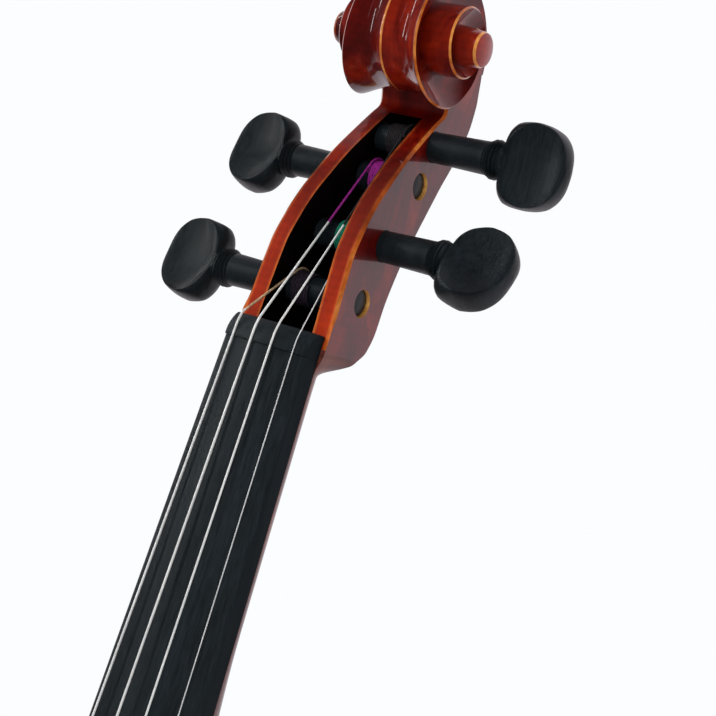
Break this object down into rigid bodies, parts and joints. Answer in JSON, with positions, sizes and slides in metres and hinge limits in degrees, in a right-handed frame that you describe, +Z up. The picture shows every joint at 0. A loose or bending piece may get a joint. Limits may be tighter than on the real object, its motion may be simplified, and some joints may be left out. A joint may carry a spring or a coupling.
{
  "type": "violin",
  "caption": "Full-size violin with carved scroll, tapered ebony pegs, arched plates, bass bar, sound post, bridge, tailpiece, fine tuner and clamped chin rest, strung and in playing trim.",
  "frame": {"origin": "where a wall hanger's yoke carries the violin: centre of the pegbox, just under the scroll", "axes": "+Z up along the body's length towards the scroll, -Y the side of the strings, +X the treble side"},
  "size_m": [0.208, 0.0991, 0.5975],
  "materials": {
    "varnished_spruce": "golden red-brown varnish over spruce, glossy",
    "varnished_maple": "red-brown varnish over maple, high gloss",
    "bare_spruce": "planed, unvarnished",
    "bare_maple": "planed, lightly oiled",
    "ebony": "satin black",
    "string_steel": "fine flat winding, bright",
    "g_silk": "wound silk, grey-purple",
    "d_silk": "wound silk, magenta",
    "a_silk": "wound silk, grey",
    "e_silk": "wound silk, green",
    "tailgut_nylon": "black monofilament",
    "plated_steel": "nickel plated",
    "cork": "cork sheet"
  },
  "bodies": {
    "violin": {"belly": "varnished_spruce", "back_plate": "varnished_maple", "neck_and_scroll": "varnished_maple", "rib_lower_treble": "varnished_maple", "rib_lower_bass": "varnished_maple", "rib_middle_treble": "varnished_maple", "rib_middle_bass": "varnished_maple", "rib_upper_treble": "varnished_maple", "rib_upper_bass": "varnished_maple", "corner_block_lower_treble": "bare_spruce", "corner_block_lower_bass": "bare_spruce", "corner_block_upper_treble": "bare_spruce", "corner_block_upper_bass": "bare_spruce", "upper_block": "bare_spruce", "lower_block": "bare_spruce", "bass_bar": "bare_spruce", "sound_post": "bare_spruce", "lining_lower_treble_belly": "bare_spruce", "lining_lower_treble_back": "bare_spruce", "lining_lower_bass_belly": "bare_spruce", "lining_lower_bass_back": "bare_spruce", "lining_middle_treble_belly": "bare_spruce", "lining_middle_treble_back": "bare_spruce", "lining_middle_bass_belly": "bare_spruce", "lining_middle_bass_back": "bare_spruce", "lining_upper_treble_belly": "bare_spruce", "lining_upper_treble_back": "bare_spruce", "lining_upper_bass_belly": "bare_spruce", "lining_upper_bass_back": "bare_spruce", "bridge": "bare_maple", "fingerboard": "ebony", "nut": "ebony", "tailpiece": "ebony", "tailpiece_fret": "ebony", "saddle": "ebony", "end_button": "ebony", "chinrest_plate": "ebony", "string_g": "string_steel", "string_d": "string_steel", "string_a": "string_steel", "string_e": "string_steel", "tailgut": "tailgut_nylon", "tuner_bracket": "plated_steel", "clamp_bracket_upper": "plated_steel", "chinrest_cork": "cork"},
    "g_peg": {"peg_g": "ebony", "string_g_winding": "g_silk"},
    "d_peg": {"peg_d": "ebony", "string_d_winding": "d_silk"},
    "a_peg": {"peg_a": "ebony", "string_a_winding": "a_silk"},
    "e_peg": {"peg_e": "ebony", "string_e_winding": "e_silk"},
    "fine_tuner_screw": {"tuner_screw": "plated_steel"},
    "fine_tuner_lever": {"tuner_lever": "plated_steel"},
    "clamp_barrel_bass": {"clamp_barrel_1": "plated_steel"},
    "clamp_barrel_treble": {"clamp_barrel_2": "plated_steel"},
    "clamp_foot": {"clamp_bracket_lower": "plated_steel", "clamp_cork": "cork"}
  },
  "joints": [
    {"name": "g_peg_turn", "type": "hinge", "parent": "violin", "child": "g_peg", "pos_m": [0, -0.01727, -0.04864], "axis": [1, 0, 0], "range_deg": [-45, 1440]},
    {"name": "d_peg_turn", "type": "hinge", "parent": "violin", "child": "d_peg", "pos_m": [0, -0.00203, -0.01708], "axis": [1, 0, 0], "range_deg": [-45, 1440]},
    {"name": "a_peg_turn", "type": "hinge", "parent": "violin", "child": "a_peg", "pos_m": [0, 0.00081, -0.00652], "axis": [1, 0, 0], "range_deg": [-45, 1440]},
    {"name": "e_peg_turn", "type": "hinge", "parent": "violin", "child": "e_peg", "pos_m": [0, -0.01267, -0.03385], "axis": [1, 0, 0], "range_deg": [-45, 1800]},
    {"name": "fine_tuner_turn", "type": "hinge", "parent": "violin", "child": "fine_tuner_screw", "pos_m": [0.0156, -0.0695, -0.45685], "axis": [0, 1, 0], "range_deg": [0, 720]},
    {"name": "fine_tuner_rock", "type": "hinge", "parent": "violin", "child": "fine_tuner_lever", "pos_m": [0.0156, -0.06389, -0.45285], "axis": [1, 0, 0], "range_deg": [0, 8.2]},
    {"name": "clamp_barrel_bass_turn", "type": "hinge", "parent": "violin", "child": "clamp_barrel_bass", "pos_m": [-0.06, -0.017, -0.55479], "axis": [0, 1, 0], "range_deg": [0, 1080]},
    {"name": "clamp_barrel_treble_turn", "type": "hinge", "parent": "violin", "child": "clamp_barrel_treble", "pos_m": [-0.03, -0.017, -0.55479], "axis": [0, 1, 0], "range_deg": [0, 1080]},
    {"name": "clamp_foot_slide", "type": "slide", "parent": "violin", "child": "clamp_foot", "axis": [0, 1, 0], "range_m": [0, 0.0029]}
  ],
  "couplings": [
    {"joint": "fine_tuner_rock", "follows": "fine_tuner_turn", "ratio": 0.011111},
    {"joint": "clamp_barrel_bass_turn", "follows": "clamp_foot_slide", "rad_per_m": 6283.2},
    {"joint": "clamp_barrel_treble_turn", "follows": "clamp_foot_slide", "rad_per_m": 6283.2}
  ]
}
